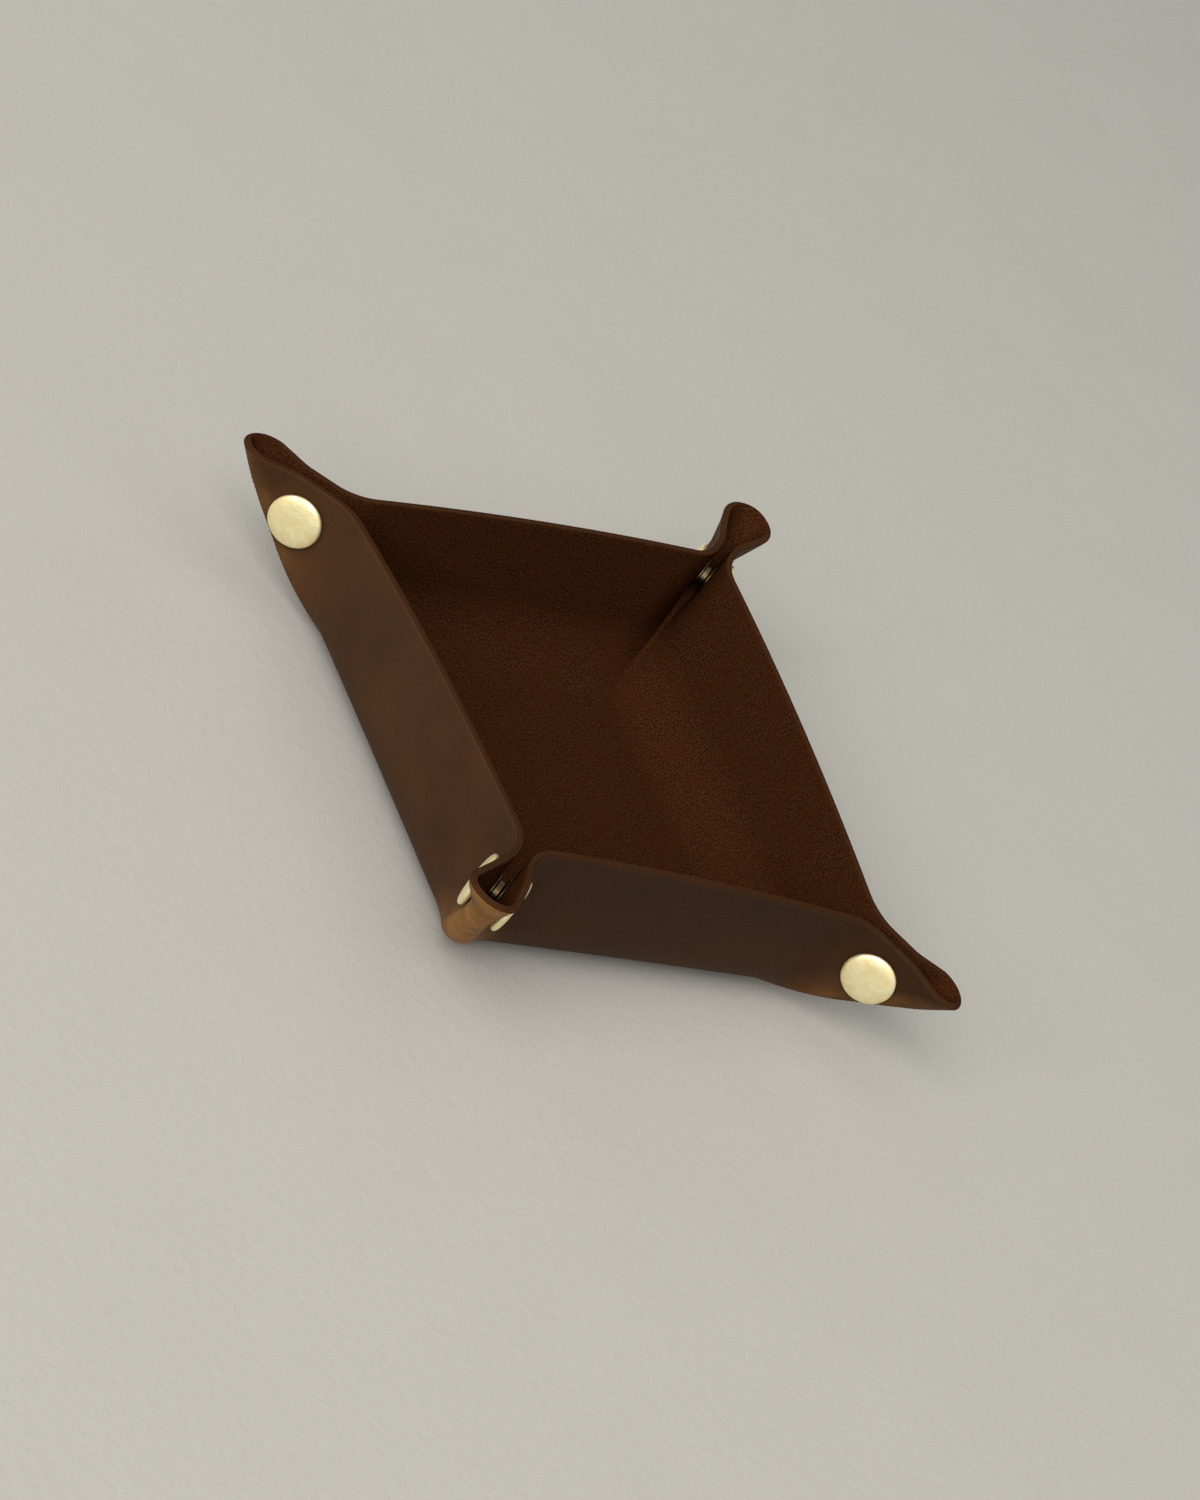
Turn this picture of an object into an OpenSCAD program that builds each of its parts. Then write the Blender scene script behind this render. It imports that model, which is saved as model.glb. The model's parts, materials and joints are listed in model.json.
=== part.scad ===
// Jewelry tray: one square leather sheet whose four corners are pinched into loops by press studs.
// The sheet lies in rings around its centre. Each ring keeps the length it has in the flat sheet,
// so the folded walls, pinches and loops all come from the flat sheet's own sizes.

/* [Leather sheet] */
// Side of the flat square sheet
sheet_side = 190; // [170:1:220]
// Leather thickness
leather_t = 2; // [1.6:0.1:2.4]
// Distance from the sheet's edge to the fold between bottom and wall
fold_in = 38; // [35:0.5:42]
// Radius of the soft bend between bottom and wall, at mid thickness
bend_r = 16.5; // [12:0.5:18]
// Lean of the walls outward from upright, in degrees
wall_lean = 4.5; // [2:0.5:8]
// Radius of the sheet's cut corners
corner_r = 1.5; // [1:0.5:6]
// Rise of the rim at the middle of each wall
mid_rise = 1.9; // [0:0.1:3]
// How much higher two opposite corners stand, and how much lower the other two
corner_lift = 6; // [0:0.5:7]

/* [Corner loops] */
// Plan radius where wall turns into pinch, at the rim
turn_r_rim = 15; // [12:0.5:17]
// Plan radius where wall turns into pinch, at the foot
turn_r_foot = 7.5; // [6:0.5:9]
// Fold radius of the loop's crest at the foot
crest_r_foot = 4.3; // [3.5:0.1:5]
// How much the caps are wider than the straight run of the pinched layers under them
cap_overhang = 2.5; // [1.5:0.1:4]
// Straight run of the pinched layers at the rim
pinch_run_rim = 5.6; // [4:0.2:9]
// Radius with which the layers leave the pinch towards the loop
spread_r = 8.8; // [7:0.2:11]
// Angle at which each layer leaves the pinch, in degrees
spread_angle = 16; // [8:1:20]

/* [Press studs] */
// Distance from the caps' edge to the sheet's nearest edge
cap_margin = 4.2; // [3.2:0.1:5.4]
// Distance from the stud holes to the sheet's other edge
hole_along = 26.3; // [25:0.1:27.5]
// Space between the two leather layers at the pinch
layer_gap = 3.2; // [3.2:0.1:3.8]
// Outer diameter of both round caps
cap_d = 15; // [13:0.5:16]
// Height of the caps above the leather
cap_h = 2.3; // [2:0.1:3]
// Height of the rolled edge at the cap's widest place
cap_edge_h = 1.1; // [0.9:0.1:1.3]
// Diameter of the cap's flat seat on the leather
cap_seat_d = 7.2; // [6.4:0.2:8]
// Slope of the cap's underside from its seat up to its edge, in degrees
cap_slope = 8; // [7:0.5:10]
// Outer diameter of the socket
socket_d = 10.4; // [9.8:0.1:11]
// Outer diameter of the stud's flange
stud_flange_d = 9.2; // [8:0.1:10]
// Diameter of the stud's swollen nose
stud_nose_d = 4.7; // [4.4:0.1:5]
// Diameter of the neck below the nose
stud_neck_d = 3.9; // [3.7:0.1:4.1]
// Wire diameter of the spring ring
ring_wire_d = 0.6; // [0.5:0.05:0.7]
// Diameter of the shanks that pass through the leather
shank_d = 2.5; // [2.2:0.1:2.7]
// Wall of the hollow shanks
shank_wall = 0.45; // [0.35:0.05:0.6]

/* [Hidden] */

// Clearances: hard parts on leather, shanks in their holes, stud nose in the socket's mouth
seat_gap = 0.05;
hole_gap = 0.1;
bore_gap = 0.04;
mouth_gap = 0.15;
nose_gap = 0.1;
cut_over = 1;

// Sheet metal of the press studs
plate_t = 0.55;
clench_t = 0.2;
clench_r = shank_d/2 + 0.6*shank_wall;

// Mesh: rows run from the flat bottom to the rim, columns from the loop's crest to mid wall
rows = 16;
wall_cols = 3;
// Columns of the corner zone, as shares of the hole's distance from the far edge
col_shares = [0, 0.04, 0.085, 0.135, 0.19, 0.25, 0.32, 0.4, 0.5, 0.62, 0.76, 0.92, 1.1, 1.32, 1.6];
col_last = len(col_shares) - 1;
cols = col_last + wall_cols;

half = sheet_side/2;
hole_in = cap_d/2 + cap_margin;
pinch_run = cap_d - cap_overhang;
lean = 90 - wall_lean;
bend_len = bend_r*lean*PI/180;
flat_half = half - fold_in - bend_len/2;
layer_mid = (layer_gap + leather_t)/2;
hole_ring = half - hole_in;
root2 = sqrt(2);
fold_share = 0.6;

function clamp(x) = min(max(x, 0), 1);
function smooth(x) = let (c = clamp(x)) c*c*(3 - 2*c);

// Wall section, by distance from the centre along the sheet: half width and height at mid thickness
function section(y) =
    let (a = min(max((y - flat_half)/bend_r*180/PI, 0), lean),
         w = max(y - flat_half - bend_len, 0))
    [min(y, flat_half) + bend_r*sin(a) + w*cos(lean),
     leather_t/2 + bend_r*(1 - cos(a)) + w*sin(lean)];

function turn_r(y) = turn_r_foot + (turn_r_rim - turn_r_foot)*clamp((y - flat_half)/(half - flat_half));
function rim_part(y) = clamp((y - hole_ring)/(half - hole_ring));

// Leather that a turn of half a right angle takes up, for turn radius r and layer offset n
function taken(r, n) = r*(PI/4 - root2 + 1) + n*(PI/2 - root2);
// Leather left over in a ring: what goes into the corner's fold
function spare(y) = y - section(y)[0];

// Layer offset from the diagonal: the crest's fold radius, wide at the foot, tight at the pinch
function crest_n(y) =
    layer_mid + (crest_r_foot - layer_mid)
        *(1 - smooth(spare(y)/(taken(turn_r(y), layer_mid) + fold_share*pinch_run)));

// Turn angle of a ring that has too little spare leather for a full pinch, found by halving k times
function turned(e, r, n, lo = 0, hi = 45, k = 24) =
    k == 0 ? (lo + hi)/2 :
    let (a = (lo + hi)/2,
         got = (r + n)*(a*PI/180 + 1 - cos(a) - sin(a)) - n*(1 - PI/4))
    got < e ? turned(e, r, n, a, hi, k - 1) : turned(e, r, n, lo, a, k - 1);

// A ring of the folded corner: [half width, height, turn radius, turn angle, run, spread angle,
// diverging run, crest radius]
function ring(y) =
    let (sec = section(y), r = turn_r(y), n = crest_n(y), e = spare(y), x = e - taken(r, n))
    x <= 0 ? [sec[0], sec[1], r, turned(e, r, n), 0, 0, 0, n] :
    let (part = rim_part(y),
         run = min(x, pinch_run + (pinch_run_rim - pinch_run)*part),
         be = spread_angle*smooth((x - fold_share*pinch_run)/(fold_share*pinch_run)),
         be_len = be*PI/180,
         left = x + n*PI/2 - run - spread_r*be_len,
         n_end = (n + spread_r*(1 - cos(be)))/cos(be),
         more = (left - n_end*(PI/2 + be_len))/(1 + (PI/2 + be_len)*tan(be)))
    more >= 0 ? [sec[0], sec[1], r, 45, run, be, more, n_end + more*tan(be)] :
    [sec[0], sec[1], r, 45, run + left - n_end*(PI/2 + be_len), be, 0, n_end];

// Offset of the ring's turn from the diagonal, where the wall's straight stretch ends
function turn_n(q) = q[2]*(cos(q[3] - 45) - 1/root2) + (q[3] < 45 ? q[7]*cos(q[3] - 45) : pinch_n(q));
function pinch_n(q) = q[7]*cos(q[5]) - q[6]*sin(q[5]) - spread_r*(1 - cos(q[5]));

// One step along a contour: state [u, n, direction, length left], curve of radius r through angle a
function arc(s, r, a) =
    let (d = min(s[3], abs(r)*a*PI/180), t = d/abs(r)*180/PI*sign(r), h = s[2])
    [s[0] + r*(sin(h + t) - sin(h)), s[1] - r*(cos(h + t) - cos(h)), h + t, s[3] - d];
function line(s, run) =
    let (d = min(s[3], run)) [s[0] + d*cos(s[2]), s[1] + d*sin(s[2]), s[2], s[3] - d];

// Point of a ring at length x from mid wall: [along the diagonal, off the diagonal, direction]
function contour(q, x) =
    let (n = turn_n(q), u = root2*q[0] - n, straight = (u - n)/root2, s0 = [u, n, -45, x - straight])
    x <= straight ? [u + (x - straight)*cos(-45), n + (x - straight)*sin(-45), -45] :
    q[3] < 45 ? arc(arc(s0, q[2], q[3]), -q[7], 45 + q[3]) :
    arc(line(arc(line(arc(s0, q[2], 45), q[4]), spread_r, q[5]), q[6]), -q[7], 90 + q[5]);

// Rim of the flat sheet: how far the rounded corner stays inside the square at p from its corner line
function cut_in(p) = p >= corner_r ? 0 : corner_r - (p + sqrt(2*corner_r*corner_r - p*p))/2;
function col_p(j, y) =
    j <= col_last ? hole_along*col_shares[j] :
    y - (y - hole_along*col_shares[col_last])*(cols - j)/wall_cols;
function row_y(i, j) =
    let (top = j <= col_last ? half - cut_in(hole_along*col_shares[j]) : half)
    flat_half + (top - flat_half)*i/rows;

// Mid surface point, with the wall's outward side along +X, and the contour's direction there
function mid_point(i, j) =
    let (y = row_y(i, j), q = ring(y), c = contour(q, y - col_p(j, y)),
         side = (c[0] - c[1])/root2, out = (c[0] + c[1])/root2,
         arch = max(1 - side*side/(q[0]*q[0]), 0),
         up = q[1] + mid_rise*arch*(q[1] - leather_t/2)/fold_in)
    [out, side, up, c[2]];

points_mid = [for (i = [0:rows]) [for (j = [0:cols]) mid_point(i, j)]];
function place(m) = [m[0], m[1], m[2]];
function unit(v) = v/norm(v);
// Contour directions are turned from the diagonal's frame to the wall's
function along(m) = [cos(m[3] - 45), -sin(m[3] - 45), 0];
function up_row(i, j) =
    place(points_mid[min(i + 1, rows)][j]) - place(points_mid[max(i - 1, 0)][j]);
function normal(i, j) =
    i == 0 ? [0, 0, 1] : unit(cross(up_row(i, j), along(points_mid[i][j])));

// The corners of one diagonal stand higher, those of the other lower
lift_reach = root2*(half - fold_in)*1.3;
function lifted(v) =
    v + [0, 0, corner_lift*2*v[0]*v[1]/(lift_reach*lift_reach)*sin(90*clamp((v[2] - leather_t)/fold_in))];

// Faces of the leather: side is 1 inside the tray and -1 outside; c counts columns round the sheet
function face_point(i, j, side) = place(points_mid[i][j]) + side*leather_t/2*normal(i, j);
function flip(v) = [v[1], v[0], v[2]];
function quarter(v, k) =
    k == 0 ? v : k == 1 ? [-v[1], v[0], v[2]] : k == 2 ? [-v[0], -v[1], v[2]] : [v[1], -v[0], v[2]];
octant = [for (side = [-1, 1]) [for (i = [0:rows]) [for (j = [0:cols]) face_point(i, j, side)]]];
around = 8*cols;
function sheet_point(i, c, s) =
    let (k = floor(c/(2*cols)), w = c - k*2*cols, v = octant[s][i][w <= cols ? cols - w : w - cols])
    lifted(quarter(w <= cols ? v : flip(v), k));

ring_points = [for (s = [0, 1]) for (i = [0:rows]) for (c = [0:around - 1]) sheet_point(i, c, s)];
side_count = (rows + 1)*around;
function id(s, i, c) = s*side_count + i*around + (c % around);
centre_low = 2*side_count;
centre_high = centre_low + 1;

// Each cell of the mesh is two triangles, split the same way on both sides of a corner
function cell_half(s, i, c, f) =
    c % (2*cols) < cols ?
        (f == 0 ? [id(s, i, c), id(s, i + 1, c), id(s, i, c + 1)]
                : [id(s, i + 1, c), id(s, i + 1, c + 1), id(s, i, c + 1)]) :
        (f == 0 ? [id(s, i, c), id(s, i + 1, c), id(s, i + 1, c + 1)]
                : [id(s, i, c), id(s, i + 1, c + 1), id(s, i, c + 1)]);
function facing(s, f) = s == 0 ? f : [f[0], f[2], f[1]];

module folded_sheet() {
    polyhedron(
        points = concat(ring_points, [[0, 0, 0], [0, 0, leather_t]]),
        faces = concat(
            [for (s = [0, 1]) for (i = [0:rows - 1]) for (c = [0:around - 1]) for (f = [0, 1])
                facing(s, cell_half(s, i, c, f))],
            [for (c = [0:around - 1]) for (f = [0, 1])
                f == 0 ? [id(0, rows, c), id(1, rows, c), id(1, rows, c + 1)]
                       : [id(0, rows, c), id(1, rows, c + 1), id(0, rows, c + 1)]],
            [for (c = [0:around - 1]) [centre_low, id(0, 0, c), id(0, 0, c + 1)]],
            [for (c = [0:around - 1]) [centre_high, id(1, 0, c + 1), id(1, 0, c)]]
        ),
        convexity = 12);
}

// Place of the press studs: along the diagonal, and height before the corner's lift
hole_q = ring(hole_ring);
hole_u = contour(hole_q, half - hole_along)[0];
hole_z = hole_q[1];
function corner_sign(k) = k % 2 == 1 ? 1 : -1;
function stud_z(k) = lifted([hole_u/root2, corner_sign(k)*hole_u/root2, hole_z])[2];

// Puts a press-stud piece at corner k, its axis across the pinch
module at_corner(k) {
    rotate([0, 0, 90*k - 45])
        translate([hole_u, 0, stud_z(k)])
            rotate([-90, 0, 0])
                children();
}

module leather_sheet() {
    color([0.27, 0.17, 0.11])
        difference() {
            folded_sheet();
            for (k = [1:4])
                at_corner(k)
                    translate([0, 0, -layer_gap/2 - leather_t - cut_over])
                        cylinder(r = shank_d/2 + hole_gap, h = layer_gap + 2*leather_t + 2*cut_over, $fn = 40);
        }
}

// Heights along a press stud's axis, from the middle of the pinch towards the socket side
face_in = layer_gap/2 - seat_gap;
face_out = layer_gap/2 + leather_t + seat_gap;
flange_top = -face_in + plate_t;
socket_floor = face_in - plate_t;
nose_top = socket_floor - clench_t - nose_gap;
nose_share = 0.25;
nose_low = nose_top - nose_share*(nose_top - flange_top);
neck_top = nose_low - 0.4*plate_t;
mouth_low = flange_top + nose_gap;
ring_z = neck_top - ring_wire_d/2;
neck_r = stud_neck_d/2;
nose_r = stud_nose_d/2;
mouth_r = nose_r + mouth_gap;
ring_r = neck_r + bore_gap + ring_wire_d/2;
groove_r = ring_r + ring_wire_d/2 + mouth_gap;
groove_low = ring_z - ring_wire_d/2 - bore_gap;
bore_r = shank_d/2 + bore_gap;
socket_r = socket_d/2;
collar_r = groove_r + plate_t;
flange_r = stud_flange_d/2;
cap_r = cap_d/2;
seat_r = cap_seat_d/2;
dome_steps = 10;

// Outer half of a domed cap with a rolled edge, seated on the leather at z = 0
module cap_head() {
    edge_r = cap_edge_h/2;
    top_r = cap_r - edge_r;
    under = (top_r - seat_r)*tan(cap_slope);
    dome_rise = cap_h - under - cap_edge_h;
    rotate_extrude($fn = 64)
        polygon(concat(
            [[0, 0], [seat_r, 0]],
            [for (a = [-90:20:70]) [top_r + edge_r*cos(a), under + edge_r + edge_r*sin(a)]],
            [for (k = [0:dome_steps])
                let (t = k/dome_steps)
                [top_r*(1 - t), under + cap_edge_h + dome_rise*(1 - pow(1 - t, 2.4))]]));
}

// Hollow shank, from the cap's seat down to its clenched end
module shank(len) {
    rotate_extrude($fn = 40)
        polygon([
            [shank_d/2 - shank_wall, -len], [clench_r, -len], [clench_r, -len + clench_t*0.5],
            [shank_d/2, -len + clench_t], [shank_d/2, clench_t], [shank_d/2 - shank_wall, clench_t]]);
}

module cap(k) {
    color([0.80, 0.69, 0.45])
        at_corner(k)
            translate([0, 0, face_out]) {
                cap_head();
                shank(face_out - socket_floor + clench_t);
            }
}

module post(k) {
    color([0.80, 0.69, 0.45])
        at_corner(k)
            mirror([0, 0, 1])
                translate([0, 0, face_out]) {
                    cap_head();
                    shank(face_out + nose_top);
                }
}

module socket(k) {
    color([0.72, 0.61, 0.38])
        at_corner(k)
            rotate_extrude($fn = 56)
                polygon([
                    [bore_r, face_in], [socket_r - 0.3*plate_t, face_in],
                    [socket_r, face_in - 0.3*plate_t], [socket_r, face_in - 0.7*plate_t],
                    [socket_r - 0.3*plate_t, face_in - plate_t], [collar_r + 0.6*plate_t, face_in - plate_t],
                    [collar_r, face_in - 1.6*plate_t], [collar_r, mouth_low + 0.5*plate_t],
                    [collar_r - 0.5*plate_t, mouth_low], [mouth_r + 0.3*plate_t, mouth_low],
                    [mouth_r, mouth_low + 0.3*plate_t], [mouth_r, groove_low],
                    [groove_r, groove_low], [groove_r, socket_floor], [bore_r, socket_floor]]);
}

module spring(k) {
    color([0.75, 0.74, 0.70])
        at_corner(k)
            translate([0, 0, ring_z])
                rotate_extrude($fn = 48)
                    translate([ring_r, 0])
                        circle(d = ring_wire_d, $fn = 16);
}

module stud(k) {
    color([0.72, 0.61, 0.38])
        at_corner(k)
            rotate_extrude($fn = 48)
                polygon([
                    [bore_r, -face_in], [flange_r - 0.3*plate_t, -face_in],
                    [flange_r, -face_in + 0.3*plate_t], [flange_r, flange_top - 0.3*plate_t],
                    [flange_r - 0.3*plate_t, flange_top], [neck_r + 0.4*plate_t, flange_top],
                    [neck_r, flange_top + 0.4*plate_t], [neck_r, neck_top], [nose_r, nose_low],
                    [nose_r, nose_top - 0.6*plate_t], [nose_r - 0.6*plate_t, nose_top],
                    [clench_r + bore_gap, nose_top], [clench_r + bore_gap, nose_top - 0.5*clench_t - bore_gap],
                    [bore_r, nose_top - clench_t - bore_gap]]);
}

leather_sheet();
cap(1);  // cap_1
socket(1);  // socket_1
spring(1);  // spring_1
stud(1);  // stud_1
post(1);  // post_1
cap(2);  // cap_2
socket(2);  // socket_2
spring(2);  // spring_2
stud(2);  // stud_2
post(2);  // post_2
cap(3);  // cap_3
socket(3);  // socket_3
spring(3);  // spring_3
stud(3);  // stud_3
post(3);  // post_3
cap(4);  // cap_4
socket(4);  // socket_4
spring(4);  // spring_4
stud(4);  // stud_4
post(4);  // post_4
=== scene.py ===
import json
import math

import bpy
import numpy as np
from mathutils import Matrix, Vector

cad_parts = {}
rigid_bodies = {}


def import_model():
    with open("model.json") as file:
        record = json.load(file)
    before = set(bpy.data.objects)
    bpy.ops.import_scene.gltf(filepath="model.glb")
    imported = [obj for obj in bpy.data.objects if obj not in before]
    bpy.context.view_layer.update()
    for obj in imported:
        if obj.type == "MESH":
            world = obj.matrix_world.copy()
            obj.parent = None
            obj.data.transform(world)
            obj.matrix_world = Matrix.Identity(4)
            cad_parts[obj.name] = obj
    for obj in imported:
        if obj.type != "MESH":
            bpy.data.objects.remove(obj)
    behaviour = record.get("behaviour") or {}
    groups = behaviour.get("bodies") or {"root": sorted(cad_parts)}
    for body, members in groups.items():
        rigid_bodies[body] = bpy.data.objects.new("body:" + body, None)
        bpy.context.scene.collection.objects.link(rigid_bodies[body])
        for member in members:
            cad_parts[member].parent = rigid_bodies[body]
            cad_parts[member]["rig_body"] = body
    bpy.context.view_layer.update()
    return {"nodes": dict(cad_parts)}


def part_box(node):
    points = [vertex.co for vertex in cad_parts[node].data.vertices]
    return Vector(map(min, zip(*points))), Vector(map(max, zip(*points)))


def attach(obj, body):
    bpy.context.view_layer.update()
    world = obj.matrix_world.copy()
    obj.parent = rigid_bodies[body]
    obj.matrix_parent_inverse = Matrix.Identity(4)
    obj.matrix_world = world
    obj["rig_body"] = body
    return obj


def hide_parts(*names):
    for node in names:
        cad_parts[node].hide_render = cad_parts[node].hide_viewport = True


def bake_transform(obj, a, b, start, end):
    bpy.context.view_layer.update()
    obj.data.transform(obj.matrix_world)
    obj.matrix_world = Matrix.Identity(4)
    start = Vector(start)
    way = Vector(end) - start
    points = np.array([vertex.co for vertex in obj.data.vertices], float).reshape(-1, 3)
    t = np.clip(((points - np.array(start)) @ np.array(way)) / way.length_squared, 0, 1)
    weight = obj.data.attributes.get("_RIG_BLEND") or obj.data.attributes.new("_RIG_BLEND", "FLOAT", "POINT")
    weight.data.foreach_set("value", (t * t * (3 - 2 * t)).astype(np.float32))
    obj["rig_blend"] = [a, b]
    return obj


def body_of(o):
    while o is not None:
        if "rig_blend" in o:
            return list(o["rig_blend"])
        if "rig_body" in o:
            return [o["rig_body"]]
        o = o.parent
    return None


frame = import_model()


# Leather sheet

# One square of thick waxed leather, grain side out and suede side in. It is folded up all round and
# pinched at each corner, where a press stud holds it; nothing is sewn or glued. Each ring round its
# middle keeps its flat length, and then one diagonal's corners are drawn up and the others down.
sheet_sizes = {
    "Side": 0.190,
    "Thickness": 0.002,
    "Fold from edge": 0.038,
    "Bend radius": 0.018,
    "Wall lean": math.radians(4.5),
    "Corner radius": 0.0002,
    "Mid rise": 0.0019,
    "Corner lift": 0.006,
    "Turn at rim": 0.0135,
    "Turn at foot": 0.024,
    "Crest at foot": 0.0034,
    "Pinch run": 0.0125,
    "Pinch run at rim": 0.0056,
    "Spread radius": 0.0088,
    "Spread angle": math.radians(16),
    "Layer gap": 0.0032,
    "Hole from edge": 0.0117,
    "Rim round": 0.00045,
    "Loop lean": 0.0,
    "Loop droop": 0.0,
    "Loop reach": 0.0,
}
# Each corner was pinched by hand, so no two loops stand open alike
loop_sizes = {
    1: {"Pinch run at rim": 0.0035, "Spread radius": 0.009, "Spread angle": math.radians(20),
        "Loop lean": -0.0008, "Loop droop": -0.0010, "Turn at foot": 0.036, "Crest at foot": 0.0012},
    2: {"Turn at rim": 0.0155, "Pinch run at rim": 0.0075, "Spread angle": math.radians(18)},
    3: {"Pinch run at rim": 0.0020, "Spread angle": math.radians(12),
        "Loop lean": -0.0015, "Loop droop": 0.0014, "Loop reach": 0.0014},
    4: {"Turn at rim": 0.0155, "Pinch run at rim": 0.0075, "Spread angle": math.radians(18)},
}
corner_signs = {1: (1, 1), 2: (-1, 1), 3: (-1, -1), 4: (1, -1)}
eighth_turn, quarter_turn, root_two = math.pi / 4, math.pi / 2, math.sqrt(2)


def fill(tree, place, value):
    """Give an input of a node a Measure, another node's output or a plain value."""
    value = value.socket if isinstance(value, Measure) else value
    if isinstance(value, bpy.types.NodeSocket):
        tree.links.new(value, place)
    else:
        place.default_value = value


def placed(tree, kind, takes=(), **settings):
    """A new node with its settings made and its inputs filled, by name or by number."""
    node = tree.nodes.new(kind)
    for name, value in settings.items():
        setattr(node, name, value)
    for name, value in dict(takes).items():
        fill(tree, node.inputs[name], value)
    return node


def maths(operation):
    """A way to work out one Measure from others, by one Math node."""
    def worked_out(first, *others):
        node = placed(first.tree, "ShaderNodeMath", enumerate((first, *others)), operation=operation)
        return Measure(first.tree, node.outputs[0])
    return worked_out


class Measure:
    """A number that a node tree works out."""

    def __init__(self, tree, socket):
        self.tree, self.socket = tree, socket

    __add__ = __radd__ = maths("ADD")
    __mul__ = __rmul__ = maths("MULTIPLY")
    __sub__ = maths("SUBTRACT")
    __truediv__ = maths("DIVIDE")
    least = maths("MINIMUM")
    most = maths("MAXIMUM")
    over = maths("GREATER_THAN")
    size = maths("ABSOLUTE")
    power = maths("POWER")
    square_root = maths("SQRT")
    sin = maths("SINE")
    cos = maths("COSINE")
    tan = maths("TANGENT")

    def __neg__(self):
        return self * -1

    def __rsub__(self, other):
        return -self + other

    def root(self):
        return self.most(0.0).square_root()

    def within(self, low, high):
        return self.most(low).least(high)

    def smooth(self):
        share = self.within(0.0, 1.0)
        return share * share * (3 - 2 * share)

    def rising(self, start, end):
        """0 up to start, 1 from end on, smooth between."""
        return ((self - start) / (end - start)).smooth()

    def falling(self, start, end):
        """1 up to start, 0 from end on, smooth between."""
        return (1 - (self - start) / (end - start)).smooth()


def joined(tree, *parts):
    """A vector of three parts."""
    return placed(tree, "ShaderNodeCombineXYZ", enumerate(parts)).outputs[0]


def parted(tree, vector):
    """The three parts of a vector."""
    return [Measure(tree, part) for part in placed(tree, "ShaderNodeSeparateXYZ", {0: vector}).outputs]


def new_tree(kind, name, takes, gives):
    """A node tree with named inputs and outputs; returns it, its inputs and its output node."""
    tree = bpy.data.node_groups.new(name, kind)
    for title, socket, value in takes:
        made = tree.interface.new_socket(title, in_out="INPUT", socket_type="NodeSocket" + socket)
        if value is not None:
            made.default_value = value
    for title, socket in gives:
        tree.interface.new_socket(title, in_out="OUTPUT", socket_type="NodeSocket" + socket)
    start, end = placed(tree, "NodeGroupInput"), placed(tree, "NodeGroupOutput")
    return tree, {s.name: Measure(tree, s) for s in start.outputs if s.name}, end


def fold_sizes(take):
    """Half the sheet, the wall's angle, the bend's length, and half the part that stays flat."""
    half = take["Side"] * 0.5
    lean = quarter_turn - take["Wall lean"]
    bend_length = take["Bend radius"] * lean
    return half, lean, bend_length, half - take["Fold from edge"] - bend_length * 0.5


# Where a point of the flat sheet lies once folded: the ring it is on and its distance from the
# corner along that ring go in; its place on an upright wall and the ring's heading come out.
size_sockets = [(title, "Float", value) for title, value in sheet_sizes.items()]
fold, take, fold_end = new_tree(
    "GeometryNodeTree", "Fold a point of the sheet",
    [("Ring", "Float", 0.0), ("From corner", "Float", 0.0)] + size_sockets,
    [("Place", "Vector"), ("Heading", "Float")],
)
half, lean, bend_length, flat_half = fold_sizes(take)
least_share, least_slope = 1e-4, 1e-5

# The flat bottom's rings are the bend's first ring, drawn in towards the middle
ring = take["Ring"].most(flat_half)
inward = (take["Ring"] / ring).most(least_share)
walk = ring - take["From corner"] / inward

# Seen in section: the bottom, the bend and the wall; the corner has to take up the spare length
bend = ((ring - flat_half) / take["Bend radius"]).least(lean)
wall = (ring - flat_half - bend_length).most(0.0)
width = ring.least(flat_half) + take["Bend radius"] * bend.sin() + wall * lean.cos()
height = take["Thickness"] * 0.5 + take["Bend radius"] * (1 - bend.cos()) + wall * lean.sin()
spare = ring - width

# Seen from above: the turn into the pinch, and the crest, which closes to the width of the studs'
# gap once there is leather enough. Of the spare length each takes up a share of its own radius.
fold_share = 0.6
turn_share = eighth_turn - root_two + 1
crest_share = quarter_turn - root_two
up_wall = ((ring - flat_half) / (half - flat_half)).within(0.0, 1.0)
turn = take["Turn at foot"] + (take["Turn at rim"] - take["Turn at foot"]) * up_wall
layer = (take["Layer gap"] + take["Thickness"]) * 0.5
pinch_start = take["Pinch run"] * fold_share
closing = (spare / (turn * turn_share + layer * crest_share + pinch_start)).smooth()
crest = layer + (take["Crest at foot"] - layer) * (1 - closing)
extra = spare - turn * turn_share - crest * crest_share

# A ring with too little spare leather turns by less than an eighth: Newton's steps find its angle,
# and 0.0 * ring makes a Measure of the first guess
newton_steps = 6
angle = 0.0 * ring + eighth_turn
for step in range(newton_steps):
    turned = (turn + crest) * (angle + 1 - angle.cos() - angle.sin())
    miss = turned - crest * (1 - eighth_turn) - spare
    angle = angle - miss / ((turn + crest) * (1 + angle.sin() - angle.cos())).most(least_slope)
full = extra.over(0.0)
angle = full * eighth_turn + (1 - full) * angle.within(0.0, eighth_turn)

# A ring with more than enough runs straight into the pinch, and above the stud spreads to a loop
extra = extra.most(0.0)
above_hole = ((ring - half + take["Hole from edge"]) / take["Hole from edge"]).within(0.0, 1.0)
run = extra.least(take["Pinch run"] + (take["Pinch run at rim"] - take["Pinch run"]) * above_hole)
spread = take["Spread angle"] * ((extra - pinch_start) / pinch_start).smooth()
left = extra + crest * quarter_turn - run - take["Spread radius"] * spread
crest_end = (crest + take["Spread radius"] * (1 - spread.cos())) / spread.cos()
room = left - crest_end * (quarter_turn + spread)
more = (room / (1 + (quarter_turn + spread) * spread.tan())).most(0.0)
run = run + room.least(0.0)
crest = crest_end + more * spread.tan()

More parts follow.
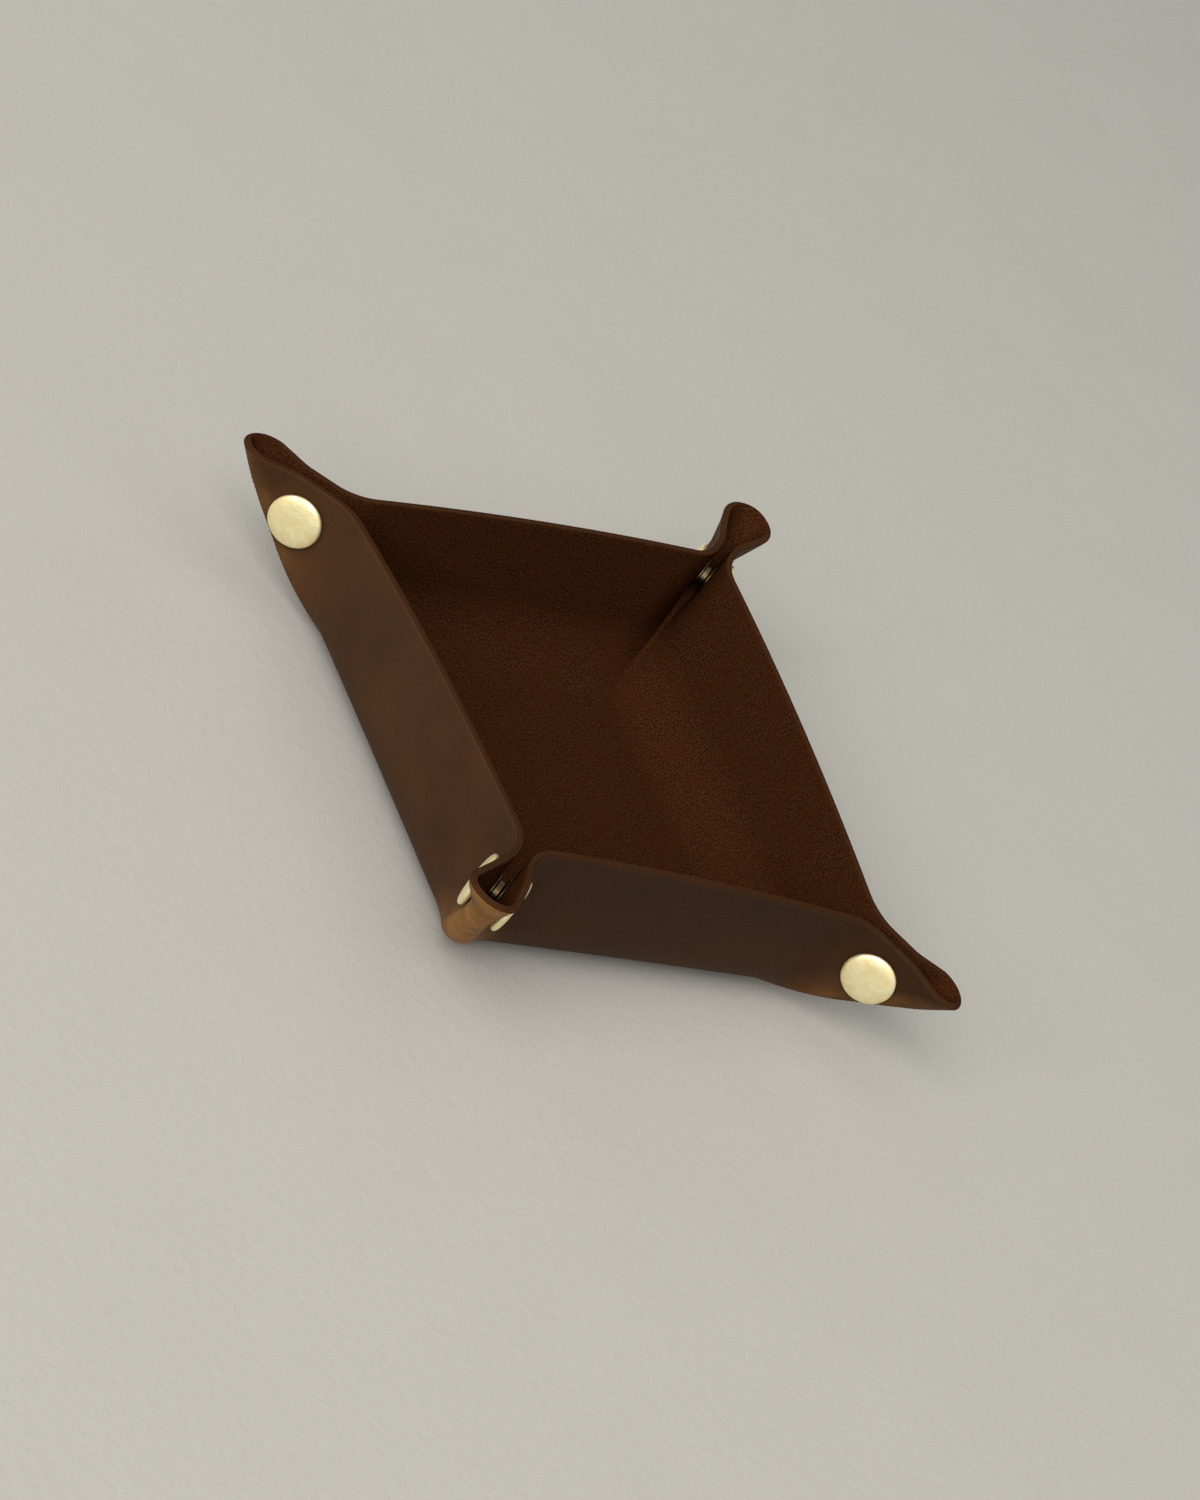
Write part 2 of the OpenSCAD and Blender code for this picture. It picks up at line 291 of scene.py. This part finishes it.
# Along the ring from mid wall: straight, turn, pinch, spread, straight again, and round the crest.
# The walk is measured along and away from the corner's diagonal.
offset = (turn * ((angle - eighth_turn).cos() - 1 / root_two)
          + crest * (angle - eighth_turn).cos() * spread.cos()
          - more * spread.sin() - take["Spread radius"] * (1 - spread.cos()))
along, away = root_two * width - offset, offset
walk = walk - (along - offset) / root_two
along = along + walk.least(0.0) * math.cos(eighth_turn)
away = away - walk.least(0.0) * math.sin(eighth_turn)
heading = 0.0 * walk - eighth_turn
to_the_end = 1.0
for length, radius in ((turn * angle, turn), (run, None),
                       (take["Spread radius"] * spread, take["Spread radius"]),
                       (more, None), (to_the_end, -crest)):
    gone = walk.within(0.0, length)
    if radius is None:
        along, away = along + gone * heading.cos(), away + gone * heading.sin()
    else:
        ahead = heading + gone / radius
        along = along + radius * (ahead.sin() - heading.sin())
        away = away - radius * (ahead.cos() - heading.cos())
        heading = ahead
    walk = walk - length

# Back to the wall's own axes; the rim rises a little at mid wall
out, aside = (along + away) / root_two, (along - away) / root_two
arch = (1 - (aside / width) * (aside / width)).most(0.0)
height = height + take["Mid rise"] * arch * (height - take["Thickness"] * 0.5) / take["Fold from edge"]
fill(fold, fold_end.inputs["Place"], joined(fold, out * inward, aside * inward, height))
fill(fold, fold_end.inputs["Heading"], heading)


def counted_grid(tree, columns, rows):
    """A flat grid of lines one apart; returns it, and each point's column and row from the middle."""
    grid = placed(tree, "GeometryNodeMeshGrid", {
        "Size X": columns, "Size Y": rows, "Vertices X": columns + 1, "Vertices Y": rows + 1})
    column, row, _ = parted(tree, placed(tree, "GeometryNodeInputPosition").outputs[0])
    return grid.outputs["Mesh"], column, row


# The tree that folds the whole sheet: a flat grid whose last lines walk round the cut edge, its
# two faces set half a thickness off the folded middle, and its corners drawn up or down.
folded, take, folded_end = new_tree(
    "GeometryNodeTree", "Folded leather sheet",
    [("Geometry", "Geometry", None), ("Grain", "Material", None), ("Suede", "Material", None),
     ("Lines", "Int", 100), ("Rim lines", "Int", 8)] + size_sockets,
    [("Geometry", "Geometry")],
)
half, _, _, flat_half = fold_sizes(take)
half_line = 0.5
close_line_share = 0.2
least_length = 1e-6
whole, across, up = counted_grid(folded, take["Lines"] * 2, take["Lines"] * 2)
far, near = across.size().most(up.size()), across.size().least(up.size())

# The last lines of the grid round the cut edge, so they stand closer than the others
rim_start = take["Lines"] - take["Rim lines"]
rim_half = take["Rim lines"] * 0.5
pitch = (half - take["Rim round"]) / rim_start


def to_length(line):
    """How far a grid line lies from the sheet's middle."""
    return line.least(rim_start) * pitch + (line - rim_start).most(0.0) * (pitch * close_line_share)


rounding = ((far - rim_start) / rim_half).within(0.0, 1.0) * quarter_turn
drop = ((far - rim_start) / rim_half - 1).within(0.0, 1.0)
flat_ring = to_length(far).least(half - take["Rim round"]) + take["Rim round"] * rounding.sin()
depth = (take["Thickness"] * 0.5 - take["Rim round"]) * (1 - drop) + take["Rim round"] * rounding.cos()
from_corner = flat_ring - to_length(near) * flat_ring / to_length(far).most(least_length)

# The flat sheet's corners are cut a little round
round_off = from_corner.least(take["Corner radius"])
across_round = (2 * take["Corner radius"] * take["Corner radius"] - round_off * round_off).root()
cut = take["Corner radius"] - (round_off + across_round) * 0.5
flat_ring = flat_ring - cut * ((flat_ring - flat_half) / (half - flat_half)).within(0.0, 1.0)


def folded_point(shift):
    """The folded place of each point, its ring moved up the sheet by shift."""
    sizes = {title: take[title] for title in sheet_sizes}
    return placed(folded, "GeometryNodeGroup",
                  {"Ring": flat_ring + shift, "From corner": from_corner} | sizes, node_tree=fold)


def vector_maths(operation, takes):
    """A vector worked out by one node of the sheet's tree."""
    return placed(folded, "ShaderNodeVectorMath", takes, operation=operation).outputs[0]


# The way the leather faces is square to its rise, over a short step, and to its ring's heading
rise_step = 0.0004
middle = folded_point(0.0)
above, below = folded_point(rise_step), folded_point(-rise_step)
rise = vector_maths("SUBTRACT", {0: above.outputs["Place"], 1: below.outputs["Place"]})
heading = Measure(folded, middle.outputs["Heading"]) - eighth_turn
ring_way = joined(folded, heading.cos(), -heading.sin(), 0.0)
facing = vector_maths("NORMALIZE", {0: vector_maths("CROSS_PRODUCT", {0: rise, 1: ring_way})})

# Points on a diagonal go with the walls that face X, and points on a middle line with plus
faces_x = (across.size() - up.size() + half_line).over(0.0)
signs = [value.over(-half_line) * 2 - 1 for value in (across, up)]


def to_corner(outward, sideways):
    """From the wall's own axes to the tray's: the same fold serves all eight half corners."""
    return (signs[0] * (faces_x * outward + (1 - faces_x) * sideways),
            signs[1] * (faces_x * sideways + (1 - faces_x) * outward))


def stored(geometry, name, kind, value):
    """The geometry with a value kept at each point, for the finish and for the quarters."""
    takes = {"Geometry": geometry, "Name": name, "Value": value}
    return placed(folded, "GeometryNodeStoreNamedAttribute", takes, data_type=kind).outputs[0]


flat_place = joined(folded, *to_corner(flat_ring, flat_ring - from_corner), 0.0)
whole = stored(whole, "flat", "FLOAT_VECTOR", flat_place)
whole = stored(whole, "fold", "FLOAT_VECTOR", joined(folded, flat_ring, from_corner, 0.0))
whole = stored(whole, "point", "INT", placed(folded, "GeometryNodeInputIndex").outputs[0])

# Above the stud each loop leans, droops and reaches out by its own amounts, most at its crest
loop_crest, loop_end = 0.006, 0.023
in_loop = from_corner.falling(loop_crest, loop_end) * (
    (flat_ring - half + take["Hole from edge"]) / take["Hole from edge"]).smooth()
lean_over = take["Loop lean"] / root_two * in_loop
reach_out = take["Loop reach"] / root_two * in_loop
lift_reach_share = 1.3
lift_reach = root_two * lift_reach_share * (half - take["Fold from edge"])

both = placed(folded, "GeometryNodeJoinGeometry")
for side in (1, -1):
    shell = stored(whole, "side", "FLOAT", depth * side / take["Thickness"] * 2)
    off = vector_maths("SCALE", {0: facing, "Scale": depth * side})
    outward, sideways, z = parted(folded, vector_maths("ADD", {0: middle.outputs["Place"], 1: off}))
    x, y = to_corner(outward, sideways)
    up_wall = ((z - take["Thickness"]) / take["Fold from edge"]).within(0.0, 1.0)
    lift = take["Corner lift"] * 2 * x * y / (lift_reach * lift_reach) * (up_wall * quarter_turn).sin()
    place = joined(folded, x - signs[1] * lean_over + signs[0] * reach_out,
                   y + signs[0] * lean_over + signs[1] * reach_out,
                   z + lift - take["Loop droop"] * in_loop)
    shell = placed(folded, "GeometryNodeSetPosition", {"Geometry": shell, "Position": place}).outputs[0]
    if side < 0:
        shell = placed(folded, "GeometryNodeFlipFaces", {0: shell}).outputs[0]
    fill(folded, both.inputs[0], shell)


def finished(tree, geometry, material, **where):
    """Set a material on all of the geometry, or on what a Selection names."""
    takes = {"Geometry": geometry, "Material": material} | where
    return placed(tree, "GeometryNodeSetMaterial", takes).outputs[0]


def made_real(tree, geometry):
    """Points that lie in one place are made one, and nothing is left an instance."""
    closed = placed(tree, "GeometryNodeMergeByDistance", {"Geometry": geometry, "Distance": least_length})
    return placed(tree, "GeometryNodeRealizeInstances", {"Geometry": closed.outputs[0]}).outputs[0]


# "side" goes from -1 on the grain side, round the rim, to 1 on the suede side
grain_end = -0.9
side_kept = placed(folded, "GeometryNodeInputNamedAttribute", {"Name": "side"})
on_suede = Measure(folded, side_kept.outputs["Attribute"]).over(grain_end)
grained = finished(folded, made_real(folded, both.outputs[0]), take["Grain"])
both_sides = finished(folded, grained, take["Suede"], Selection=on_suede)
fill(folded, folded_end.inputs["Geometry"], both_sides)


def build_mesh(tree, sizes):
    """What a geometry tree makes with these sizes, as a plain mesh."""
    maker = bpy.data.objects.new("maker", bpy.data.meshes.new("maker"))
    bpy.context.scene.collection.objects.link(maker)
    modifier = maker.modifiers.new("Build", "NODES")
    modifier.node_group = tree
    for item in tree.interface.items_tree:
        if item.item_type == "SOCKET" and item.in_out == "INPUT" and item.name in sizes:
            modifier[item.identifier] = sizes[item.name]
    mesh = bpy.data.meshes.new_from_object(maker.evaluated_get(bpy.context.evaluated_depsgraph_get()))
    bpy.data.objects.remove(maker)
    return mesh


def numbers(mesh, name, field, kind, width=1):
    """A point attribute of a mesh as an array."""
    values = np.zeros(len(mesh.attributes[name].data) * width, kind)
    mesh.attributes[name].data.foreach_get(field, values)
    return values.reshape(-1, width) if width > 1 else values


def eased(values, start, end):
    """The same as rising, for an array."""
    share = np.clip((values - start) / (end - start), 0, 1)
    return share * share * (3 - 2 * share)


# An opened stud draws its layer aside: fully at the cap, and not at all beyond the crest, at mid
# wall or at the foot. Each pair says where that begins and where it ends, in metres from the crest,
# in shares of the way from the crest to mid wall, and in metres from the sheet's middle.
moves_past_crest = (-0.004, 0.0175)
stays_by_mid_wall_shares = (0.38, 0.84)
moves_above_foot = (0.059, 0.0755)
least_ring = 0.01
rim_middle = 1e-4  # "side" is 0 where the two halves of the rim meet
half_gap = sheet_sizes["Layer gap"] / 2

# The sheet is built as four quarters, one for each corner, because each corner has its own
# press stud to open; they meet exactly, with the whole sheet's own surface normals.
leathers = {"Grain": bpy.data.materials.new("waxed_grain"), "Suede": bpy.data.materials.new("suede_side")}
for finish in leathers.values():
    finish.use_nodes = True
for corner, (sx, sy) in corner_signs.items():
    made = build_mesh(folded, sheet_sizes | loop_sizes[corner] | leathers)
    points = np.array([v.co for v in made.vertices])
    normals = np.array([v.normal for v in made.vertices])
    flat = numbers(made, "flat", "vector", np.float32, 3)
    fold_at = numbers(made, "fold", "vector", np.float32, 3)
    side_at = numbers(made, "side", "value", np.float32)
    number = numbers(made, "point", "value", np.int32)
    faces = np.array([tuple(p.vertices) for p in made.polygons])
    suede_faces = np.array([made.materials[p.material_index] == leathers["Suede"] for p in made.polygons])
    bpy.data.meshes.remove(made)

    # The quarter's own faces, and a wall across the sheet's thickness wherever it was cut, from
    # each point of the suede side to the grain side's point with the same number
    on_grain = side_at < rim_middle
    grain_point = np.full(number.max() + 1, -1)
    grain_point[number[on_grain]] = np.nonzero(on_grain)[0]
    middle_of = flat[faces].mean(1)
    here = (middle_of[:, 0] * sx > 0) & (middle_of[:, 1] * sy > 0)
    own = faces[here]
    edges = {(a, b) for face in own for a, b in zip(face, np.roll(face, -1))}
    walls = []
    for a, b in sorted(edges):
        if (b, a) not in edges and side_at[a] + side_at[b] > 0:
            wall_points = [b, a, grain_point[number[a]], grain_point[number[b]]]
            walls.append([v for n, v in enumerate(wall_points) if v not in wall_points[:n]])
    used = np.unique(own)
    index = np.full(len(points), -1)
    index[used] = np.arange(len(used))
    mesh = bpy.data.meshes.new(f"leather_{corner}")
    mesh.from_pydata(points[used], [], [[int(index[v]) for v in f] for f in [*own, *walls]])
    for finish in leathers.values():
        mesh.materials.append(finish)
    finish_of = [*suede_faces[here].astype(int), *([1] * len(walls))]  # 1 is the suede side
    mesh.polygons.foreach_set("material_index", finish_of)
    for name, kind, field, values in (("flat", "FLOAT_VECTOR", "vector", flat),
                                      ("fold", "FLOAT_VECTOR", "vector", fold_at),
                                      ("side", "FLOAT", "value", side_at)):
        mesh.attributes.new(name, kind, "POINT").data.foreach_set(field, values[used].ravel())

    # The sheet's own normals on its faces, and plain ones on the cut walls
    mesh.polygons.foreach_set("use_smooth", [True] * len(mesh.polygons))
    point_of = np.zeros(len(mesh.loops), np.int32)
    mesh.loops.foreach_get("vertex_index", point_of)
    normal_at = normals[used][point_of]
    for face in mesh.polygons[len(own):]:
        normal_at[face.loop_start:face.loop_start + face.loop_total] = face.normal
    mesh.normals_split_custom_set([tuple(n) for n in normal_at])
    piece = bpy.data.objects.new(f"leather_{corner}", mesh)
    bpy.context.scene.collection.objects.link(piece)
    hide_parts("leather_sheet")

    # The corner's blend is narrowed to the patch of the sheet that moves with the cap
    diagonal = Vector((sx, sy, 0)).normalized()
    aside = Vector((-diagonal.y, diagonal.x, 0))
    stud_at = sum(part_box(f"spring_{corner}"), Vector()) / 2
    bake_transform(piece, "tray", f"snap_{corner}", stud_at - aside * half_gap, stud_at + aside * half_gap)
    ring_at, crest_at = fold_at[used][:, 0], fold_at[used][:, 1]
    flat_x, flat_y = np.abs(flat[used][:, 0]), np.abs(flat[used][:, 1])
    crest_at *= np.where(flat_x > flat_y, -sx * sy, sx * sy)
    weights = (eased(crest_at, *moves_past_crest)
               * (1 - eased(crest_at / ring_at.clip(least_ring), *stays_by_mid_wall_shares))
               * eased(ring_at, *moves_above_foot))
    mesh.attributes["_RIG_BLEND"].data.foreach_set("value", weights.astype(np.float32))


def dyed(tree, amount, dark, light):
    """Colour between dark at amount 0 and light at amount 1."""
    return placed(tree, "ShaderNodeMix", {0: amount, 6: dark, 7: light}, data_type="RGBA").outputs[2]


# Soft spots of two colours, of a given size in metres
mottle, take, mottle_end = new_tree(
    "ShaderNodeTree", "Mottle",
    [("Where", "Vector", None), ("Spot", "Float", 0.01), ("Contrast", "Float", 1.0),
     ("Dark", "Color", (0, 0, 0, 1)), ("Light", "Color", (1, 1, 1, 1))],
    [("Colour", "Color"), ("Amount", "Float")],
)
cloud = placed(mottle, "ShaderNodeTexNoise", {
    "Vector": take["Where"], "Scale": take["Spot"].power(-1.0), "Detail": 3.0, "Roughness": 0.6})
amount = ((Measure(mottle, cloud.outputs["Fac"]) - 0.5) * take["Contrast"] * 2 + 0.5).within(0.0, 1.0)
fill(mottle, mottle_end.inputs["Colour"], dyed(mottle, amount, take["Dark"], take["Light"]))
fill(mottle, mottle_end.inputs["Amount"], amount)


def mottled(tree, where, spot, contrast, dark=(0, 0, 0, 1), light=(1, 1, 1, 1)):
    """A Mottle group in a material: its colour and its amount."""
    takes = {"Where": where, "Spot": spot, "Contrast": contrast, "Dark": dark, "Light": light}
    node = placed(tree, "ShaderNodeGroup", takes, node_tree=mottle)
    return node.outputs["Colour"], Measure(tree, node.outputs["Amount"])


def relief(tree, strength, distance, height):
    """The normal of a surface that stands out by distance where height is 1."""
    takes = {"Strength": strength, "Distance": distance, "Height": height}
    return placed(tree, "ShaderNodeBump", takes).outputs["Normal"]


def finish_with(tree, takes):
    """Fill the inputs of a material's own shader."""
    for name, value in takes.items():
        fill(tree, tree.nodes["Principled BSDF"].inputs[name], value)


# Outside: the waxed grain, with soft clouds in the dye, painted shade that colours the front wall darker,
# amber where the fold of a corner has pulled the wax apart, strongest at the near corner, and fine pores.
dark_wax, light_wax = (0.050, 0.0212, 0.0088, 1), (0.080, 0.0350, 0.0148, 1)
front_shade_colour, fleck_dye = (0.025, 0.0104, 0.0050, 1), (0.035, 0.0150, 0.0065, 1)
pulled_amber = (0.380, 0.180, 0.048, 1)
tree = leathers["Grain"].node_tree
sheet_at = placed(tree, "ShaderNodeAttribute", attribute_name="flat").outputs["Vector"]
fold_place = placed(tree, "ShaderNodeAttribute", attribute_name="fold").outputs["Vector"]
flat_x, flat_y, _ = parted(tree, sheet_at)
ring, from_crest, _ = parted(tree, fold_place)
colour, cloud = mottled(tree, sheet_at, spot=0.030, contrast=1.1, dark=dark_wax, light=light_wax)
_, fleck = mottled(tree, sheet_at, spot=0.0013, contrast=0.9)
_, pull_cloud = mottled(tree, sheet_at, spot=0.010, contrast=1.3)
# Painted shade: the front wall is coloured darker than the rest, standing in for shade on that side.
colour = dyed(tree, (-flat_y).rising(0.045, 0.095) * 0.62, colour, front_shade_colour)
# The amber is strongest at the near corner and weaker at the other three.
near_corner_share = (-flat_x).rising(0.0, 0.040) * (-flat_y).rising(0.0, 0.040)
crest_pull = from_crest.falling(0.003, 0.010) * ring.rising(0.050, 0.064)
foot_pull = from_crest.falling(0.0, 0.020) * ring.rising(0.048, 0.056) * ring.falling(0.066, 0.082) * 0.7
rim_pull = ring.rising(0.0938, 0.0946) * 0.03
pull = crest_pull.most(foot_pull) * (0.35 + 0.75 * pull_cloud) * (0.28 + 0.72 * near_corner_share)
colour = dyed(tree, pull.most(rim_pull).within(0.0, 1.0), colour, pulled_amber)
pore = placed(tree, "ShaderNodeTexVoronoi", {"Vector": sheet_at, "Scale": 1100.0}, feature="F1")
pores = Measure(tree, pore.outputs["Distance"])
finish_with(tree, {
    "Base Color": dyed(tree, fleck * 0.22, colour, fleck_dye),
    "Roughness": 0.50 + 0.12 * cloud + 0.06 * fleck,
    "Specular IOR Level": 0.06,
    "Normal": relief(tree, strength=0.5, distance=0.00015, height=pores * 0.35 + fleck * 0.4),
})

# Inside: the napped suede side, brushed in soft patches; and the cut edge, whose fibres lie in
# darker and paler layers.
dark_nap, light_nap = (0.0225, 0.0068, 0.0023, 1), (0.0860, 0.0320, 0.0112, 1)
tuft_dye, brushed_dye = (0.0250, 0.0084, 0.0032, 1), (0.0600, 0.0160, 0.0054, 1)
pale_fibre, dark_fibre = (0.070, 0.0300, 0.0130, 1), (0.034, 0.0135, 0.0060, 1)
tree = leathers["Suede"].node_tree
sheet_at = placed(tree, "ShaderNodeAttribute", attribute_name="flat").outputs["Vector"]
side = Measure(tree, placed(tree, "ShaderNodeAttribute", attribute_name="side").outputs["Fac"])
edge = side.size().falling(0.73, 0.93)
colour, nap = mottled(tree, sheet_at, spot=0.00060, contrast=2.5, dark=dark_nap, light=light_nap)
_, tufts = mottled(tree, sheet_at, spot=0.0032, contrast=1.4)
_, brushed = mottled(tree, sheet_at, spot=0.014, contrast=1.5)
_, fibre = mottled(tree, sheet_at, spot=0.0012, contrast=1.2)
colour = dyed(tree, tufts * 0.30, colour, tuft_dye)
colour = dyed(tree, brushed * 0.45, colour, brushed_dye)
fibre_layers = 8
layers = (side * fibre_layers + fibre * 2).sin() * 0.5 + 0.5
edge_colour = dyed(tree, layers * (0.4 + 0.5 * fibre), pale_fibre, dark_fibre)
finish_with(tree, {
    "Base Color": dyed(tree, edge, colour, edge_colour),
    "Roughness": 1.0,
    "Specular IOR Level": 0.0,
    "Normal": relief(tree, strength=0.5, distance=0.00012, height=nap + edge * fibre * 0.5),
})


# Press studs: sockets, studs and springs

# Inside each pinch a socket is clenched on the cap's shank and a stud on the post, both pressed
# from brass, and a sprung steel ring in the socket grips the stud's neck. Their brass and steel are coloured
# dark as painted shade for the gap between the leather layers where they sit.


def metal(name, dark, light, spot, roughness, dents, metallic=1.0):
    """Satin metal with handling marks: spots of two tones, uneven gloss and shallow dents."""
    made = bpy.data.materials.new(name)
    made.use_nodes = True
    tree = made.node_tree
    where = placed(tree, "ShaderNodeTexCoord").outputs["Object"]
    colour, tone = mottled(tree, where, spot, contrast=1.3, dark=dark, light=light)
    _, fleck = mottled(tree, where, spot * 0.12, contrast=1.4)
    finish_with(tree, {
        "Base Color": colour,
        "Metallic": metallic,
        "Roughness": roughness + 0.10 * fleck - 0.08 * tone,
        "Normal": relief(tree, strength=0.4, distance=dents, height=tone + fleck * 0.25),
    })
    return made


# Painted shade: these two metals are coloured dark to stand in for the shade between the leather layers.
shade_darkened_brass = metal("shade_darkened_brass", dark=(0.055, 0.037, 0.016, 1), light=(0.13, 0.093, 0.045, 1),
                    spot=0.0030, roughness=0.34, dents=0.00006)
steel = metal("shade_darkened_spring_wire", dark=(0.14, 0.135, 0.125, 1), light=(0.27, 0.26, 0.25, 1),
              spot=0.0020, roughness=0.26, dents=0.00002)
for corner in corner_signs:
    for kind, finish in (("socket", shade_darkened_brass), ("stud", shade_darkened_brass), ("spring", steel)):
        for slot in frame["nodes"][f"{kind}_{corner}"].material_slots:
            slot.material = finish


# Press studs: caps and posts

# Both outer pieces have the same head of pale satin brass, drawn from sheet: a pillow dome that
# rolls round its edge and in under itself, on a shank through the leather. The tree turns the
# profile; the shank's length and the head's seat are the node's own.
brass = metal("satin_brass", dark=(0.90, 0.74, 0.37, 1), light=(1.0, 0.93, 0.61, 1),
              spot=0.0030, roughness=0.50, dents=0.00016, metallic=0.85)
head_sizes = {
    "Radius": 0.0075,
    "Height": 0.0029,
    "Edge": 0.00095,
    "Shank radius": 0.00125,
    "Seat radius": 0.0036,
    "Underside slope": math.radians(8),
}
head_over_seat = 0.0023  # what the frame's own heads have
fuller_outwards, fuller_upwards = 0.72, 0.82  # powers that make the dome fuller than an ellipse
head, take, head_end = new_tree(
    "GeometryNodeTree", "Turned head",
    [("Geometry", "Geometry", None), ("Metal", "Material", None),
     ("Rows", "Int", 60), ("Around", "Int", 64), ("Shank length", "Float", 0.003)]
    + [(title, "Float", value) for title, value in head_sizes.items()],
    [("Geometry", "Geometry")],
)
grid, column, row = counted_grid(head, take["Rows"], take["Around"])
step = column / take["Rows"] * 2 + 1
turn_by = row / take["Around"] * (2 * math.pi)


def gone_from(start, end):
    """How much of a stretch of the profile lies behind, as a share."""
    return ((step - start) / (end - start)).within(0.0, 1.0)


# The profile runs from the dome's top at 0 to its edge at 1, and then by these steps to the end
roll_end, under_end, shank_end, tip_end = 1.3, 1.6, 1.8, 2.0
dome = (1 - step.within(0.0, 1.0)) * quarter_turn
roll = gone_from(1, roll_end) * quarter_turn
under = gone_from(roll_end, under_end)
down = gone_from(under_end, shank_end)
tip = gone_from(shank_end, tip_end)
on_dome = 1 - (step - 1).over(0.0)
slope = take["Underside slope"].tan()
rim_lift = (take["Radius"] - take["Seat radius"]) * slope
radius = take["Radius"] * dome.cos().most(0.0).power(fuller_outwards) - take["Edge"] * (1 - roll.cos())
under_width = take["Radius"] - take["Edge"] - take["Shank radius"]
radius = radius - under_width * under - take["Shank radius"] * tip
height = (take["Edge"] * (1 - roll.sin()) + on_dome * rim_lift
          + (1 - on_dome) * (radius - take["Seat radius"]).most(0.0) * slope
          + (take["Height"] - take["Edge"] - rim_lift) * dome.sin().most(0.0).power(fuller_upwards)
          - take["Shank length"] * down)
place = joined(head, radius * turn_by.cos(), radius * turn_by.sin(), height)
turned = placed(head, "GeometryNodeSetPosition", {"Geometry": grid, "Position": place}).outputs[0]
smooth = placed(head, "GeometryNodeSetShadeSmooth", {"Geometry": turned}).outputs[0]
fill(head, head_end.inputs["Geometry"], finished(head, made_real(head, smooth), take["Metal"]))

for corner, (sx, sy) in corner_signs.items():
    for kind, way in (("cap", 1), ("post", -1)):
        node = frame["nodes"][f"{kind}_{corner}"]
        axis = Vector((-sy, sx, 0)).normalized() * way
        reached = [(node.matrix_world @ v.co).dot(axis) for v in node.data.vertices]
        seat = max(reached) - head_over_seat
        stud_at = sum(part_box(f"spring_{corner}"), Vector()) / 2
        seat_at = stud_at + axis * (seat - stud_at.dot(axis))
        mesh = build_mesh(head, head_sizes | {"Shank length": seat - min(reached), "Metal": brass})
        mesh.transform(Matrix.Translation(seat_at) @ axis.to_track_quat("Z", "X").to_matrix().to_4x4())
        piece = bpy.data.objects.new(f"{kind}_head_{corner}", mesh)
        bpy.context.scene.collection.objects.link(piece)
        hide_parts(f"{kind}_{corner}")
        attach(piece, body_of(node)[0])


# Floor

# A plain pale plastered surface, trowelled flat, which the tray stands on. It reaches far past the
# picture on all sides.
floor_radius, floor_sides = 9, 48
floor_mesh = bpy.data.meshes.new("floor")
around = [side * 2 * math.pi / floor_sides for side in range(floor_sides)]
rim = [(floor_radius * math.cos(a), floor_radius * math.sin(a), 0) for a in around]
floor_mesh.from_pydata(rim, [], [range(floor_sides)])
floor = bpy.data.objects.new("floor", floor_mesh)
bpy.context.scene.collection.objects.link(floor)
plaster = bpy.data.materials.new("pale_plaster")
plaster.use_nodes = True
tree = plaster.node_tree
where = placed(tree, "ShaderNodeTexCoord").outputs["Object"]
colour, _ = mottled(tree, where, spot=0.05, contrast=0.8,
                    dark=(0.590, 0.574, 0.532, 1), light=(0.612, 0.596, 0.554, 1))
_, lumps = mottled(tree, where, spot=0.0035, contrast=1.2)
finish_with(tree, {
    "Base Color": colour,
    "Roughness": 0.95,
    "Normal": relief(tree, strength=0.15, distance=0.0005, height=lumps),
})
floor_mesh.materials.append(plaster)


# Light and camera

# A pale room, brighter to the left, with one tall soft window on that side and a wide soft light
# under the ceiling. The camera stands a little under a metre away and looks down on the tray.
world = bpy.data.worlds.new("pale_room")
bpy.context.scene.world = world
world.use_nodes = True
tree = world.node_tree
ray = placed(tree, "ShaderNodeLightPath")
seen = Measure(tree, ray.outputs["Is Camera Ray"]).most(Measure(tree, ray.outputs["Is Glossy Ray"]))
toward_x, toward_y, _ = parted(tree, placed(tree, "ShaderNodeTexCoord").outputs["Generated"])
toward_window = (toward_x * -0.7 - toward_y * 0.3 + 0.5).smooth()
room = tree.nodes["Background"].inputs
fill(tree, room["Strength"], 0.20 + 0.78 * seen * (0.45 + 0.55 * toward_window))
fill(tree, room["Color"], (1.0, 0.985, 0.955, 1))
for name, width, height, power, place_at in (("window", 3.6, 3.3, 188.0, (-3.06, -1.63, 2.71)),
                                             ("ceiling", 3.0, 3.0, 14.0, (0.0, -0.3, 2.6))):
    light = bpy.data.lights.new(name, "AREA")
    light.shape = "RECTANGLE"
    light.size, light.size_y = width, height
    light.energy = power
    light.color = (1.0, 0.985, 0.96)
    lamp = bpy.data.objects.new(name, light)
    lamp.location = place_at
    lamp.rotation_mode = "QUATERNION"
    lamp.rotation_quaternion = (-lamp.location).to_track_quat("-Z", "Y")
    bpy.context.scene.collection.objects.link(lamp)

camera = bpy.data.cameras.new("camera")
camera.sensor_width = 36
camera.lens = 85.494
camera.clip_start, camera.clip_end = 0.05, 30
stands_at = Vector((-0.60141, -0.53076, 0.50907))
right = Vector((0.75270977, -0.35120321, 0.55685215))
above = Vector((-0.13301754, 0.74725309, 0.65109074))
turned_to = Matrix((right, above, right.cross(above))).transposed().to_4x4()
eye = bpy.data.objects.new("camera", camera)
eye.matrix_world = Matrix.Translation(stands_at) @ turned_to
bpy.context.scene.collection.objects.link(eye)
bpy.context.scene.camera = eye
bpy.context.scene.view_settings.view_transform = "Standard"
